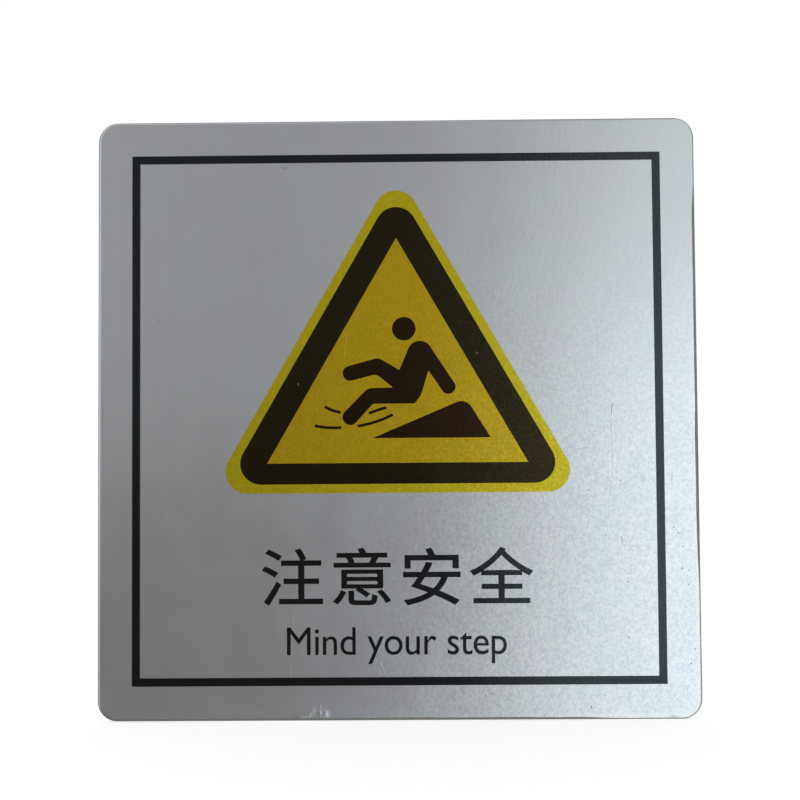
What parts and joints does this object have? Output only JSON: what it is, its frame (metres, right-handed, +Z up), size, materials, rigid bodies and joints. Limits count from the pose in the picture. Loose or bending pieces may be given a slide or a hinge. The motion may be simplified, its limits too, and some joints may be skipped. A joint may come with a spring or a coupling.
{
  "type": "slippery floor warning sign",
  "caption": "Square metal wall sign with rounded corners, a printed border line and a yellow and black warning triangle that shows a figure slipping on a ramp.",
  "frame": {"origin": "centre of the plate's flat back face", "axes": "+Z up and +X to the right as the sign is read, the printed face towards -Y, and +Y out of the back into the wall"},
  "size_m": [0.15, 0.0013, 0.15],
  "materials": {
    "plate_metal": "satin, with a fine grain",
    "yellow_ink": "thin satin ink over the metal",
    "black_ink": "thin satin ink"
  },
  "bodies": {
    "root": {"sign_plate": "plate_metal", "border_print": "black_ink", "triangle_field_print": "yellow_ink", "triangle_band_print": "black_ink", "figure_print": "black_ink", "ramp_print": "black_ink", "slide_marks_print": "black_ink"}
  },
  "joints": []
}
